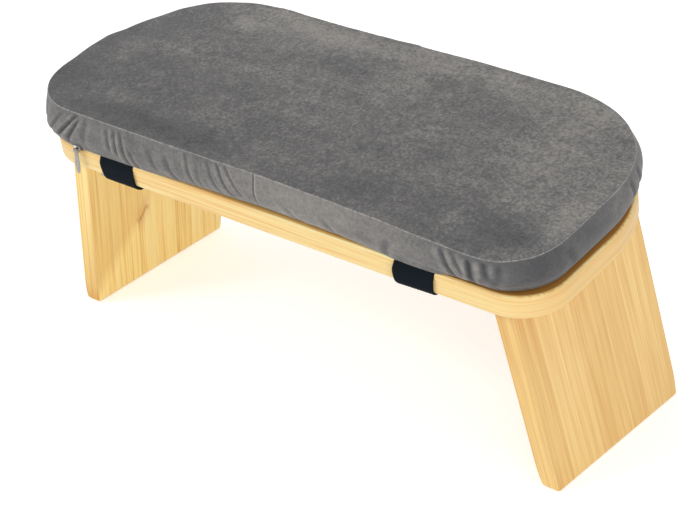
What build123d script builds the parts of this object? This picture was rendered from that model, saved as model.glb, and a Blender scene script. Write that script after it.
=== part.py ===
from build123d import *
import os
from math import cos, degrees, radians, sin

# Millimetres and degrees. The bench is drawn in the seat's own frame: x along the seat, y from its
# front edge to its back edge, z square to it, with z = 0 on the board's underside. It is then tilted
# and lifted onto the legs, so that the floor is z = 0 in the finished part.

# Stance
seat_height = 160.0  # floor to the middle of the board's underside
seat_slope = 7.0  # the front edge is the lower one
seat_shift = 3.55  # puts the origin under the middle of the overall depth

# Seat board, a D in plan: small corners in front, large ones behind
board_length = 480.0
board_depth = 210.2
board_thickness = 18.8
board_front_radius = 37.0
board_back_radius = 118.0
board_edge_round = 3.2

# Legs
leg_inset = 42.4  # board's end to the leg's inner face, at the underside
leg_thickness = 15.0
leg_splay = 10.5
leg_depth = 157.8
leg_setback = 6.4  # the leg's front edge behind the board's front edge
leg_front_toe = 5.5
leg_back_toe = 3.5
leg_edge_round = 2.5

# Butt hinges, two to a leg
hinge_spacing = 92.0
hinge_length = 38.0
leaf_width = 20.0
leaf_thickness = 1.2
leaf_corner = 3.0
leaf_relief = 0.4
knuckle_count = 3
knuckle_diameter = 5.0
knuckle_gap = 0.3
pin_diameter = 2.4
pin_clearance = 0.05

# Countersunk wood screws, two to a leaf
screw_diameter = 3.0
screw_length = 12.0
screw_tip = 3.0
screw_clearance = 0.05
screw_pitch = 22.0
screw_row = 12.0  # pin to the line of screws

# Cushion
cushion_height = 34.6
cushion_left_overhang = 6.25  # beyond the board's left end
cushion_right_inset = 1.75  # short of its right end
cushion_front_overhang = 1.9
cushion_back_inset = 1.9
cushion_front_left_radius = 53.0
cushion_front_right_radius = 41.0
cushion_back_radius = 109.0
cover_thickness = 1.2
cover_edge_chamfer = 0.8
foam_gap = 0.3
foam_bottom_chamfer = 7.0
foam_top_chamfer = 1.5
cut_margin = 1.0  # how far a cutting block or ring reaches past the cushion

# Zip, let into the cushion's bottom seam from the front left round the left end
zip_lead = 4.0  # closed end of the zip to the start of the corner
zip_strap_gap = 4.5  # open end of the zip to the left strap
coil_width = 2.1
coil_height = 2.0
coil_inset = 0.3
coil_lift = 0.1  # above the cover's bottom panel
tape_width = 2.6
tape_thickness = 0.6
slider_length = 7.0
slider_wall = 0.8
slider_clearance = 0.3
slider_stand = 1.0  # outer face beyond the cushion's outline
bar_diameter = 1.2
bar_reach = 1.7  # slider's face to the bar's middle
ear_radius = 1.2
ear_thickness = 0.9
ear_root = 0.2  # how deep the ears are let into the slider
eye_clearance = 0.05
eye_wall = 0.7
pull_length = 18.0  # bar to the middle of the tip
pull_thickness = 1.2
pull_head_radius = 1.5
pull_belly_radius = 2.5
pull_belly_drop = 11.5
pull_tip_radius = 1.7
pull_edge_chamfer = 0.3

# Elastic straps, sewn to the cushion's bottom seam and passed under the board
strap_width = 35.0
strap_thickness = 1.5
strap_gap = 0.3
left_strap_inset = 43.6  # leg's inner face to the strap's middle
right_strap_inset = 60.6

slope = radians(seat_slope)
splay = radians(leg_splay)
board_front = -board_depth / 2
leg_inner_x = board_length / 2 - leg_inset
leg_front = board_front + leg_setback
leg_back = leg_front + leg_depth
leg_middle = (leg_front + leg_back) / 2
fold_angle = 90 + leg_splay
knuckle_radius = knuckle_diameter / 2
# The barrel touches both the underside and the leg's inner face.
pin_x = leg_inner_x - knuckle_radius * (1 - sin(splay)) / cos(splay)
screw_head_diameter = screw_diameter + 2 * leaf_thickness

left_strap_x = left_strap_inset - leg_inner_x
right_strap_x = leg_inner_x - right_strap_inset
zip_back_x = left_strap_x - strap_width / 2 - zip_strap_gap

cushion_length = board_length + cushion_left_overhang - cushion_right_inset
cushion_depth = board_depth + cushion_front_overhang - cushion_back_inset
cushion_x = -(cushion_left_overhang + cushion_right_inset) / 2
cushion_y = -(cushion_front_overhang + cushion_back_inset) / 2
panel_top = board_thickness + cover_thickness
cushion_top = board_thickness + cushion_height
corner_x = cushion_x - cushion_length / 2 + cushion_front_left_radius
corner_y = cushion_y - cushion_depth / 2 + cushion_front_left_radius
coil_bottom = panel_top + coil_lift
coil_top = coil_bottom + coil_height
slider_bottom = coil_bottom - slider_clearance - slider_wall
slider_top = coil_top + slider_clearance + slider_wall
bar_z = slider_bottom + slider_wall
bar_y = corner_y - cushion_front_left_radius - slider_stand - bar_reach

seat_at = Pos(0, seat_shift, seat_height) * Rot(seat_slope, 0, 0)


def d_outline(length, depth, front_left, front_right, back):
    """A rectangle with its own radius at each front corner and one radius at the back."""
    face = Rectangle(length, depth)
    face = fillet(face.vertices().group_by(Axis.Y)[-1], back)
    face = fillet(face.vertices().group_by(Axis.Y)[0].sort_by(Axis.X)[0], front_left)
    return fillet(face.vertices().group_by(Axis.Y)[0].sort_by(Axis.X)[-1], front_right)


def board_blank(growth):
    """The rounded board, or the same form grown all over."""
    face = d_outline(board_length, board_depth, board_front_radius, board_front_radius, board_back_radius)
    blank = extrude(Pos(0, 0, -growth) * offset(face, growth), board_thickness + 2 * growth)
    rims = blank.edges().group_by(Axis.Z)
    return fillet(rims[0] + rims[-1], board_edge_round + growth)


def cushion_face(inset):
    """The cushion in plan, drawn in from its outline."""
    face = d_outline(
        cushion_length,
        cushion_depth,
        cushion_front_left_radius,
        cushion_front_right_radius,
        cushion_back_radius,
    )
    return Pos(cushion_x, cushion_y) * offset(face, -inset)


def cushion_ring(outer_inset, inner_inset, bottom, top):
    ring = cushion_face(outer_inset) - cushion_face(inner_inset)
    return extrude(Pos(0, 0, bottom) * ring, top - bottom)


def leg_drop(y):
    """The leg's inner face, measured down the leg from the seat to the floor."""
    return (seat_height + y * sin(slope)) / (cos(splay) * cos(slope))


def right_leg():
    """A profile on the inner face, drawn out along the seat, so that both cut edges come out bevelled."""
    corners = [
        (leg_front, 0),
        (leg_back, 0),
        (leg_back, -leg_drop(leg_back)),
        (leg_front, -leg_drop(leg_front)),
    ]
    profile = make_face(Polyline(*corners, close=True))
    profile = fillet(profile.vertices().sort_by_distance(corners[2])[0], leg_back_toe)
    profile = fillet(profile.vertices().sort_by_distance(corners[3])[0], leg_front_toe)
    inner_face = Plane((leg_inner_x, 0, 0), x_dir=(0, 1, 0), z_dir=(cos(splay), 0, sin(splay)))
    leg = extrude(inner_face * profile, leg_thickness / cos(splay), dir=(1, 0, 0))
    across = leg.edges().filter_by(Axis.X)
    rims = [e for e in leg.edges() if e not in across and e.center().Z < -leg_edge_round]
    return fillet(rims, leg_edge_round)


def hinge_leaf(first_knuckle):
    """A leaf on the seat's side of the pin, screwed face up, with every other knuckle of the barrel."""
    relief = knuckle_radius + leaf_relief
    plate = Pos((-leaf_width - relief) / 2, 0, knuckle_radius - leaf_thickness / 2) * Box(
        leaf_width - relief, hinge_length, leaf_thickness
    )
    free_edge = plate.edges().filter_by(Axis.Z).group_by(Axis.X)[0]
    leaf = fillet(free_edge, leaf_corner)
    pitch = hinge_length / knuckle_count
    section = Circle(knuckle_radius) + Pos(-relief / 2, knuckle_radius - leaf_thickness / 2) * Rectangle(
        relief, leaf_thickness
    )
    knuckle = extrude(Plane.XZ * section, (pitch - knuckle_gap) / 2, both=True)
    for i in range(first_knuckle, knuckle_count, 2):
        leaf += Pos(0, (i + 0.5) * pitch - hinge_length / 2, 0) * knuckle
    leaf -= Rot(90, 0, 0) * Cylinder(pin_diameter / 2 + pin_clearance, hinge_length)
    for place in screw_places():
        leaf -= place * screw(screw_clearance)
    return leaf


def screw_places():
    """The two screws of a leaf on the seat's side, heads flush with its open face."""
    open_face = knuckle_radius - leaf_thickness
    return [Pos(-screw_row, y, open_face) for y in (-screw_pitch / 2, screw_pitch / 2)]


def screw(growth=0):
    """Head, shank and tip of a countersunk screw pointing up, or the hole that a leaf needs for it."""
    head = screw_head_diameter / 2 + growth
    shank = screw_diameter / 2 + growth
    end = screw_length + growth
    half = Polyline(
        (0, 0),
        (head, 0),
        (shank, leaf_thickness),
        (shank, end - screw_tip),
        (0, end),
        close=True,
    )
    return revolve(make_face(Plane.XZ * half), Axis.Z)


def pilot_hole():
    """A plain drilled hole, from the leaf's open face to just past the screw's tip."""
    depth = screw_length + screw_clearance
    radius = screw_diameter / 2 + screw_clearance
    return Cylinder(radius, depth, align=(Align.CENTER, Align.CENTER, Align.MIN))


def hinge_pin():
    """A plain pin, flush with the barrel's ends."""
    return Rot(90, 0, 0) * Cylinder(pin_diameter / 2, hinge_length)


def onto_leg(shape):
    """Turns what lies on the seat's side of the pin to the leg's side of it, with the leg open."""
    return Rot(0, -fold_angle, 0) * mirror(shape, about=Plane.XY)


def hinge_places():
    """The middles of the right leg's two hinges, front and rear, on the pin's axis."""
    return {
        name: Pos(pin_x, leg_middle + step * hinge_spacing / 2, -knuckle_radius)
        for name, step in (("front", -1), ("rear", 1))
    }


def foam_core():
    core = extrude(
        Pos(0, 0, panel_top) * cushion_face(cover_thickness + foam_gap),
        cushion_height - 2 * cover_thickness,
    )
    core = chamfer(core.edges().group_by(Axis.Z)[0], foam_bottom_chamfer)
    return chamfer(core.edges().group_by(Axis.Z)[-1], foam_top_chamfer)


def cover_top_panel():
    panel = extrude(Pos(0, 0, cushion_top - cover_thickness) * cushion_face(0), cover_thickness)
    return chamfer(panel.edges().group_by(Axis.Z)[-1], cover_edge_chamfer)


def zip_run(bottom, top, margin=0):
    """The stretch that the zip takes of the bottom seam, as a block round the left end."""
    left = cushion_x - cushion_length / 2 - cut_margin
    corner = (Align.MIN, Align.MIN, Align.MIN)
    height = top - bottom
    front = Box(corner_x + zip_lead + margin - left, cushion_depth, height, align=corner)
    back = Box(zip_back_x + margin - left, cushion_depth, height, align=corner)
    return Pos(left, cushion_y - cushion_depth, bottom) * front + Pos(left, cushion_y, bottom) * back


def cover_side_band():
    band = cushion_ring(0, cover_thickness, panel_top, cushion_top - cover_thickness)
    return band - zip_run(panel_top, slider_top + slider_clearance, slider_clearance)


def cover_bottom_panel():
    panel = extrude(Pos(0, 0, board_thickness) * cushion_face(0), cover_thickness)
    rim = cushion_ring(-cut_margin, coil_inset + coil_width, board_thickness, panel_top)
    return panel - (rim & zip_run(board_thickness, panel_top, slider_clearance))


def zip_chain():
    """The coil, and the tape that it is woven to, which lies on the bottom panel inside it."""
    coil_inner = coil_inset + coil_width
    tape_inner = coil_inner + tape_width
    coil = cushion_ring(coil_inset, coil_inner, coil_bottom, coil_top)
    tape = cushion_ring(coil_inset + coil_width / 2, tape_inner, panel_top, panel_top + tape_thickness)
    tape -= cushion_ring(0, coil_inner, panel_top, coil_bottom)
    tape += cushion_ring(coil_inner, tape_inner, panel_top, coil_bottom)
    return (coil + tape) & zip_run(panel_top, coil_top)


def slider_turned(section):
    """A section at the cushion's front edge, turned about the corner's centre over the slider's length."""
    arc = degrees(slider_length / cushion_front_left_radius)
    centre = Axis((corner_x, corner_y, 0), (0, 0, 1))
    return revolve(section, centre, arc).rotate(centre, -arc / 2)


def zip_slider():
    """A channel open to the inside of the seam, with two ears and a bar that carries the pull."""
    outline_y = corner_y - cushion_front_left_radius
    depth = slider_stand + coil_inset + coil_width - slider_clearance
    face_y = outline_y - slider_stand
    around = Pos(face_y + depth / 2, (slider_bottom + slider_top) / 2) * Rectangle(
        depth, slider_top - slider_bottom
    )
    inside = Pos(face_y + depth / 2 + slider_wall, (coil_bottom + coil_top) / 2) * Rectangle(
        depth, coil_height + 2 * slider_clearance
    )
    section = Plane((corner_x, 0, 0), x_dir=(0, 1, 0), z_dir=(1, 0, 0)) * (around - inside)
    slider = slider_turned(section)
    ear_reach = bar_reach + ear_root
    ear_face = Circle(ear_radius) + Pos(ear_reach / 2, 0) * Rectangle(ear_reach, 2 * ear_radius)
    ear = extrude(Plane.YZ * ear_face, ear_thickness / 2, both=True)
    bar_half = pull_head_radius + slider_clearance + ear_thickness
    for side in (-1, 1):
        slider += Pos(corner_x + side * (bar_half - ear_thickness / 2), bar_y, bar_z) * ear
    return slider + Pos(corner_x, bar_y, bar_z) * Rot(0, 90, 0) * Cylinder(bar_diameter / 2, 2 * bar_half)


def zip_pull():
    """A leaf-shaped tab with a rolled eye, which hangs plumb from the bar whatever the seat's slope."""
    circles = [
        Circle(pull_head_radius),
        Pos(0, -pull_belly_drop) * Circle(pull_belly_radius),
        Pos(0, -pull_length) * Circle(pull_tip_radius),
    ]
    edges = [circle.edges() for circle in circles]
    leaf = make_hull(edges[0] + edges[1] + edges[2])
    tab = extrude(Plane.XZ * leaf, pull_thickness / 2, both=True)
    rims = [e for e in tab.edges() if abs(e.center().Y) > pull_thickness / 4]
    tab = chamfer(rims, pull_edge_chamfer)
    bore = bar_diameter / 2 + eye_clearance
    tab += Rot(0, 90, 0) * Cylinder(bore + eye_wall, 2 * pull_head_radius)
    tab -= Rot(0, 90, 0) * Cylinder(bore, 4 * pull_head_radius)
    return Pos(corner_x, bar_y, bar_z) * Rot(-seat_slope, 0, 0) * tab


def strap(x):
    """A band that follows the board's section from the cushion's front seam to its back seam."""
    wrap = board_blank(strap_gap + strap_thickness) - board_blank(strap_gap)
    wrap &= Pos(x, 0, board_thickness / 2) * Box(strap_width, 2 * board_depth, 2 * board_thickness)
    over = extrude(Pos(0, 0, board_thickness) * cushion_face(-strap_gap), cushion_height)
    return wrap - over


parts = {}
hinges = hinge_places()
seat_screws = [hinge * place * screw() for hinge in hinges.values() for place in screw_places()]
leg_screws = [hinge * onto_leg(place * screw()) for hinge in hinges.values() for place in screw_places()]
seat_pilots = [hinge * place * pilot_hole() for hinge in hinges.values() for place in screw_places()]
leg_pilots = [
    hinge * onto_leg(place * pilot_hole()) for hinge in hinges.values() for place in screw_places()
]

board = board_blank(0)
for pilot in seat_pilots:
    board -= pilot
    board -= mirror(pilot, about=Plane.YZ)
parts["seat_board"] = board

leg = right_leg()
for pilot in leg_pilots:
    leg -= pilot
parts["right_leg"] = leg
parts["left_leg"] = mirror(leg, about=Plane.YZ)

for end, hinge in hinges.items():
    pieces = {
        "seat_leaf": hinge * hinge_leaf(0),
        "leg_leaf": hinge * onto_leg(hinge_leaf(1)),
        "pin": hinge * hinge_pin(),
    }
    for name, piece in pieces.items():
        parts[f"right_{end}_hinge_{name}"] = piece
        parts[f"left_{end}_hinge_{name}"] = mirror(piece, about=Plane.YZ)

parts["seat_hinge_screws"] = Compound(seat_screws + [mirror(s, about=Plane.YZ) for s in seat_screws])
parts["right_leg_screws"] = Compound(leg_screws)
parts["left_leg_screws"] = Compound([mirror(s, about=Plane.YZ) for s in leg_screws])

parts["foam_core"] = foam_core()
parts["cover_top_panel"] = cover_top_panel()
parts["cover_side_band"] = cover_side_band()
parts["cover_bottom_panel"] = cover_bottom_panel()
parts["zip_chain"] = zip_chain()
parts["zip_slider"] = zip_slider()
parts["zip_pull"] = zip_pull()
parts["left_strap"] = strap(left_strap_x)
parts["right_strap"] = strap(right_strap_x)

os.makedirs("parts", exist_ok=True)
for name, shape in parts.items():
    export_step(seat_at * shape, f"parts/{name}.step")
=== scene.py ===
import bpy
import bmesh
from math import cos, exp, hypot, pi, radians, sin, tan, tau
from mathutils import Matrix, Vector, noise
from mathutils.kdtree import KDTree


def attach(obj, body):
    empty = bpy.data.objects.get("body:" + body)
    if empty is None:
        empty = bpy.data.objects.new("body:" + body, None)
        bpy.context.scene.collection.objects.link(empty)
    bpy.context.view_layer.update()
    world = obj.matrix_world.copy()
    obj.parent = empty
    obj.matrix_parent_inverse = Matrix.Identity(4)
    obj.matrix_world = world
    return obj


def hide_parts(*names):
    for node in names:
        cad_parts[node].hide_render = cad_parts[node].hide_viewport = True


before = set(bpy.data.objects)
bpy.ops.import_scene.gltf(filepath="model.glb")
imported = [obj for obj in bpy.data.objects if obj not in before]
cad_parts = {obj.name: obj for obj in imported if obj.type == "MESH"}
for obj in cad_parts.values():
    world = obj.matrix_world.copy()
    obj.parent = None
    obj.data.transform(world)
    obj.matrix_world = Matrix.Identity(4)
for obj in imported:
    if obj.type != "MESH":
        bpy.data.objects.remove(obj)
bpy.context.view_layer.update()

# Metres throughout. Pieces of the seat are drawn flat, x along the seat, y towards its back edge and
# z = 0 on the board's underside, and are then laid on the slope by seatFrame.
bench = {
    "slope": radians(7.0),
    "height": 0.1600,  # floor to the middle of the board's underside
    "shift": 0.00355,
    "length": 0.480,
    "depth": 0.2102,
    "thick": 0.0188,
    "frontRadius": 0.037,
    "backRadius": 0.118,
    "edgeRound": 0.0032,
    "endTone": 0.45,  # how much deeper the ends are than the long sides
    "cushionShadeTone": 1.25,  # and the top where it shows past the cushion, at the right: painted shade, deeper and warmer where the cushion's shadow falls
    # seed, the joint's mark (along, across and its size) and the bamboo's tones
    "figure": (3.0, (0.06, 0.02, 0.012), ((252, 238, 179), (245, 228, 164), (228, 166, 78))),
}
seatFrame = (
    Matrix.Translation((0, bench["shift"], bench["height"]))
    @ Matrix.Rotation(bench["slope"], 4, "X")
)


# small helpers

def newObject(name, bm, materials=()):
    mesh = bpy.data.meshes.new(name)
    bm.to_mesh(mesh)
    bm.free()
    piece = bpy.data.objects.new(name, mesh)
    bpy.context.scene.collection.objects.link(piece)
    for material in materials:
        mesh.materials.append(material)
    return piece


def smoothShade(piece, angle=35):
    piece.data.shade_smooth()
    piece.data.set_sharp_from_angle(angle=radians(angle))


def weightNormals(piece):
    # keeps flats flat next to rounded edges
    weighted = piece.modifiers.new("weighted", "WEIGHTED_NORMAL")
    weighted.keep_sharp = True
    weighted.weight = 80


def smoothStep(low, high, value):
    t = min(max((value - low) / (high - low), 0), 1)
    return t * t * (3 - 2 * t)


def vertsOf(geom):
    return [g for g in geom if isinstance(g, bmesh.types.BMVert)]


def edgesOf(geom):
    return [g for g in geom if isinstance(g, bmesh.types.BMEdge)]


def rememberGrain(bm, alongAxes):
    # stores each point in the wood's own axes: along the fibres, across the strips, through the plies
    layer = bm.verts.layers.float_vector.new("grain")
    for v in bm.verts:
        v[layer] = alongAxes @ v.co


def dOutline(bm, length, depth, radii, step, centre=(0, 0), z=0):
    # a face with its own radius at each corner, its edges cut about one step long
    grid = bmesh.ops.create_grid(bm, x_segments=1, y_segments=1, size=0.5)["verts"]
    bmesh.ops.scale(bm, vec=(length, depth, 1), verts=grid)
    corners = {
        (x, y): min(grid, key=lambda v, x=x, y=y: hypot(v.co.x - x * length, v.co.y - y * depth))
        for x in (-1, 1)
        for y in (-1, 1)
    }
    for corner, radius in radii.items():
        bmesh.ops.bevel(
            bm,
            geom=[corners[corner]],
            offset=radius,
            offset_type="OFFSET",
            affect="VERTICES",
            segments=max(6, round(radius * pi / 2 / step)),
            profile=0.5,
            material=-1,
        )
    for edge in [e for e in bm.edges if e.calc_length() > 1.9 * step]:
        bmesh.ops.subdivide_edges(bm, edges=[edge], cuts=round(edge.calc_length() / step) - 1)
    bmesh.ops.translate(bm, vec=(centre[0], centre[1], z), verts=bm.verts)
    return bm.faces[:][0]


# shader helpers

def srgb(r, g, b):
    def linear(c):
        c /= 255
        return c / 12.92 if c <= 0.04045 else ((c + 0.055) / 1.055) ** 2.4
    return (linear(r), linear(g), linear(b), 1)


def feed(tree, socket, value):
    if isinstance(value, bpy.types.NodeSocket):
        tree.links.new(value, socket)
    else:
        socket.default_value = value


def calc(tree, operation, *values):
    n = tree.nodes.new("ShaderNodeMath")
    n.operation = operation
    for socket, value in zip(n.inputs, values):
        feed(tree, socket, value)
    return n.outputs[0]


def addUp(tree, *values):
    total = values[0]
    for value in values[1:]:
        total = calc(tree, "ADD", total, value)
    return total


def scaled(tree, value, amount):
    return calc(tree, "MULTIPLY", value, amount)


def varied(tree, value, amount):
    # a cloud or a fraction, 0 to 1, as a change both ways
    return scaled(tree, calc(tree, "SUBTRACT", value, 0.5), amount)


def distanceFrom(tree, value, place):
    return calc(tree, "ABSOLUTE", calc(tree, "SUBTRACT", value, place))


def vectorCalc(tree, operation, *values):
    n = tree.nodes.new("ShaderNodeVectorMath")
    n.operation = operation
    for socket, value in zip(n.inputs, values):
        feed(tree, socket, value)
    return n.outputs[0]


def blendColour(tree, factor, a, b):
    n = tree.nodes.new("ShaderNodeMix")
    n.data_type = "RGBA"
    feed(tree, n.inputs[0], factor)
    feed(tree, n.inputs[6], a)
    feed(tree, n.inputs[7], b)
    return n.outputs[2]


def remap(tree, value, low, high, to=(0, 1), kind="SMOOTHSTEP"):
    n = tree.nodes.new("ShaderNodeMapRange")
    n.interpolation_type = kind
    for name, v in (("Value", value), ("From Min", low), ("From Max", high), ("To Min", to[0]), ("To Max", to[1])):
        feed(tree, n.inputs[name], v)
    return n.outputs[0]


def cloud(tree, vector, scale, detail=2, roughness=0.5):
    n = tree.nodes.new("ShaderNodeTexNoise")
    feed(tree, n.inputs["Vector"], vector)
    n.inputs["Scale"].default_value = scale
    n.inputs["Detail"].default_value = detail
    n.inputs["Roughness"].default_value = roughness
    return n.outputs["Fac"]


def threeTones(tree, tone, low, middle, high, colours):
    # straight from the first colour at low through the second to the third at high
    darker = blendColour(tree, remap(tree, tone, low, middle, kind="LINEAR"), colours[0], colours[1])
    return blendColour(tree, remap(tree, tone, middle, high, kind="LINEAR"), darker, colours[2])


def attribute(tree, name, output="Vector"):
    n = tree.nodes.new("ShaderNodeAttribute")
    n.attribute_name = name
    return n.outputs[output]


def splitXYZ(tree, vector):
    n = tree.nodes.new("ShaderNodeSeparateXYZ")
    feed(tree, n.inputs[0], vector)
    return n.outputs


def joinXYZ(tree, x, y, z):
    n = tree.nodes.new("ShaderNodeCombineXYZ")
    for socket, value in zip(n.inputs, (x, y, z)):
        feed(tree, socket, value)
    return n.outputs[0]


def newGroup(name, inputs, outputs):
    # a shader node group with named sockets. Returns it with its input and output nodes
    tree = bpy.data.node_groups.new(name, "ShaderNodeTree")
    for label, kind, value in inputs:
        socket = tree.interface.new_socket(label, in_out="INPUT", socket_type=kind)
        if value is not None:
            socket.default_value = value
    for label, kind in outputs:
        tree.interface.new_socket(label, in_out="OUTPUT", socket_type=kind)
    return tree, tree.nodes.new("NodeGroupInput").outputs, tree.nodes.new("NodeGroupOutput").inputs


def useGroup(tree, group, **values):
    n = tree.nodes.new("ShaderNodeGroup")
    n.node_tree = group
    for label, value in values.items():
        feed(tree, n.inputs[label], value)
    return n.outputs


def newMaterial(name, **constants):
    # a Principled material. Returns it with its tree and shader, constants set on the shader
    material = bpy.data.materials.new(name)
    material.use_nodes = True
    tree = material.node_tree
    shader = next(n for n in tree.nodes if n.type == "BSDF_PRINCIPLED")
    for label, value in constants.items():
        shader.inputs[label.replace("_", " ")].default_value = value
    return material, tree, shader


def addBump(tree, shader, height, strength, distance):
    n = tree.nodes.new("ShaderNodeBump")
    n.inputs["Strength"].default_value = strength
    n.inputs["Distance"].default_value = distance
    feed(tree, n.inputs["Height"], height)
    tree.links.new(n.outputs[0], shader.inputs["Normal"])


# bamboo

def makeBambooFigure():
    # laminated bamboo: glued strips and plies, fine fibres, vessel flecks and the culm's joints
    tree, given, out = newGroup(
        "bambooFigure",
        [
            ("Grain", "NodeSocketVector", None),
            ("Strip", "NodeSocketFloat", 0.021),
            ("Ply", "NodeSocketFloat", 0.0063),
            ("Seed", "NodeSocketFloat", 0.0),
            ("Mark", "NodeSocketVector", None),
            ("Pale", "NodeSocketColor", srgb(250, 222, 158)),
            ("Body", "NodeSocketColor", srgb(242, 205, 134)),
            ("Deep", "NodeSocketColor", srgb(222, 172, 98)),
            ("EndGrain", "NodeSocketFloat", 0.0),
        ],
        [("Color", "NodeSocketColor"), ("Roughness", "NodeSocketFloat"), ("Height", "NodeSocketFloat")],
    )
    along, across, through = splitXYZ(tree, given["Grain"])[:3]
    stripAt = calc(tree, "DIVIDE", across, given["Strip"])
    plyAt = calc(tree, "DIVIDE", through, given["Ply"])
    cell = addUp(
        tree, calc(tree, "FLOOR", stripAt), scaled(tree, calc(tree, "FLOOR", plyAt), 17.3), given["Seed"]
    )
    dice = tree.nodes.new("ShaderNodeTexWhiteNoise")
    dice.noise_dimensions = "1D"
    feed(tree, dice.inputs["W"], cell)
    chance = splitXYZ(tree, dice.outputs["Color"])
    shifted = addUp(tree, along, scaled(tree, chance[0], 3.0))

    def streaks(longScale, crossScale, detail):
        lane = joinXYZ(
            tree,
            scaled(tree, shifted, longScale),
            scaled(tree, across, crossScale),
            scaled(tree, through, crossScale),
        )
        return cloud(tree, lane, 1.0, detail)

    broad = streaks(2.5, 55, 2)
    middle = streaks(5, 210, 3)
    fine = streaks(12, 640, 3)
    fleck = remap(tree, streaks(26, 1500, 2), 0.60, 0.74)

    # the brown mark that a joint of the culm leaves across one strip
    markAlong, markAcross, markSize = splitXYZ(tree, given["Mark"])[:3]
    sideways = calc(tree, "SUBTRACT", across, markAcross)
    slant = addUp(tree, scaled(tree, sideways, 0.5), varied(tree, middle, 0.020))
    lengthways = calc(tree, "ABSOLUTE", addUp(tree, calc(tree, "SUBTRACT", along, markAlong), slant))
    core = remap(tree, lengthways, scaled(tree, markSize, 0.22), 0)
    halo = remap(tree, lengthways, markSize, 0)
    joint = addUp(tree, scaled(tree, core, 0.6), scaled(tree, halo, 0.4))
    withinStrip = remap(tree, calc(tree, "ABSOLUTE", sideways), scaled(tree, given["Strip"], 0.62), 0.002)
    joint = scaled(tree, joint, withinStrip)

    tone = addUp(
        tree, scaled(tree, broad, 0.45), scaled(tree, middle, 0.55), varied(tree, fine, 0.85),
        varied(tree, chance[2], 0.24),
    )
    colour = threeTones(tree, tone, 0.20, 0.50, 0.80, (given["Deep"], given["Body"], given["Pale"]))
    # cut ends are deeper in tone, and a cut with a negative value paler; the same input carries painted shade on the
    # board's top beside the cushion
    deeper = scaled(tree, given["EndGrain"], 0.8)
    colour = blendColour(tree, deeper, colour, given["Deep"])
    colour = blendColour(tree, scaled(tree, deeper, -1), colour, given["Pale"])
    flecks = scaled(tree, fleck, 0.30)
    colour = blendColour(tree, flecks, colour, srgb(200, 146, 76))
    colour = blendColour(tree, scaled(tree, joint, 0.85), colour, srgb(188, 118, 50))

    # hairline glue joints between strips and between plies
    def hairline(place, width, strength):
        side = distanceFrom(tree, calc(tree, "FRACT", place), 0.5)
        return scaled(tree, remap(tree, side, 0.5 - width, 0.5), strength)
    glue = calc(tree, "MAXIMUM", hairline(stripAt, 0.03, 0.35), hairline(plyAt, 0.11, 0.6))
    glueTone = blendColour(tree, deeper, given["Deep"], srgb(168, 108, 48))
    colour = blendColour(tree, glue, colour, glueTone)
    feed(tree, out["Color"], colour)
    feed(tree, out["Roughness"], remap(tree, fine, 0.2, 0.8, (0.42, 0.56)))
    feed(tree, out["Height"], calc(tree, "SUBTRACT", scaled(tree, fine, 0.5), addUp(tree, glue, flecks)))
    return tree


bambooFigure = makeBambooFigure()


def makeBamboo(name, seed, mark, tones, strip=0.021):
    # clear-lacquered bamboo
    material, tree, shader = newMaterial(name, Coat_Weight=0.12, Coat_Roughness=0.35)
    pale, body, deep = (srgb(*tone) for tone in tones)
    figure = useGroup(
        tree, bambooFigure, Grain=attribute(tree, "grain"), EndGrain=attribute(tree, "cutToneAndShade", "Fac"),
        Seed=seed, Mark=mark, Strip=strip, Ply=0.0063, Pale=pale, Body=body, Deep=deep,
    )
    feed(tree, shader.inputs["Base Color"], figure["Color"])
    feed(tree, shader.inputs["Roughness"], figure["Roughness"])
    addBump(tree, shader, figure["Height"], 0.35, 0.0002)
    return material


def makeSeatBoard():
    bm = bmesh.new()
    radii = {(x, -1): bench["frontRadius"] for x in (-1, 1)} | {(x, 1): bench["backRadius"] for x in (-1, 1)}
    face = dOutline(bm, bench["length"], bench["depth"], radii, 0.006)
    raised = bmesh.ops.extrude_face_region(bm, geom=[face])["geom"]
    bmesh.ops.translate(bm, vec=(0, 0, bench["thick"]), verts=vertsOf(raised))
    bmesh.ops.recalc_face_normals(bm, faces=bm.faces)
    rims = [e for e in bm.edges if abs(e.verts[0].co.z - e.verts[1].co.z) < 1e-6]
    bmesh.ops.bevel(
        bm, geom=rims, offset=bench["edgeRound"], offset_type="OFFSET", affect="EDGES",
        segments=6, profile=0.5, material=-1,
    )
    rememberGrain(bm, Matrix.Identity(4))
    cutToneAndShade = bm.verts.layers.float.new("cutToneAndShade")
    layer = bm.verts.layers.float_vector["grain"]
    bm.normal_update()
    for v in bm.verts:
        v[cutToneAndShade] = bench["endTone"] * abs(v.normal.x)
        # on the top face this is painted shade, deeper towards the right end where the cushion's shadow falls
        if v.co.z > bench["thick"] - 1e-5:
            v[cutToneAndShade] = bench["cushionShadeTone"] * smoothStep(0.05, 0.15, v.co.x)
        # round the rim the plies' lines follow the outline
        if bench["edgeRound"] * 0.3 < v.co.z < bench["thick"] - bench["edgeRound"] * 0.3:
            v[layer].x += (1 if v.co.x > 0 else -1) * (v.co.y + bench["depth"] / 2)
            v[layer].y = -bench["depth"] / 2
    bm.transform(seatFrame)
    board = newObject("seatBoard", bm, [makeBamboo("bambooBoard", *bench["figure"])])
    smoothShade(board)
    weightNormals(board)
    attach(board, "seat")
    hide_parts("seat_board")
    return board


leg = {
    "innerX": 0.1976,  # at the underside
    "thick": 0.0150,
    "splay": radians(10.5),
    "depth": 0.1578,
    "setback": 0.0064,
    "frontToe": 0.0036,
    "backToe": 0.0035,
    "edgeRound": 0.0025,
    "frontTone": {"left": 1.25, "right": -0.7},  # of the front cut: deeper, or paler where negative
    # seed, the joint's mark (down the plate, across it, and its size) and the bamboo's tones
    "figure": {
        "left": (41.0, (0.126, -0.040, 0.019), ((255, 234, 164), (255, 222, 140), (216, 164, 76))),
        "right": (67.0, (0.02, 0.03, 0.010), ((243, 209, 138), (229, 186, 112), (211, 158, 84))),
    },
}


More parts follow.
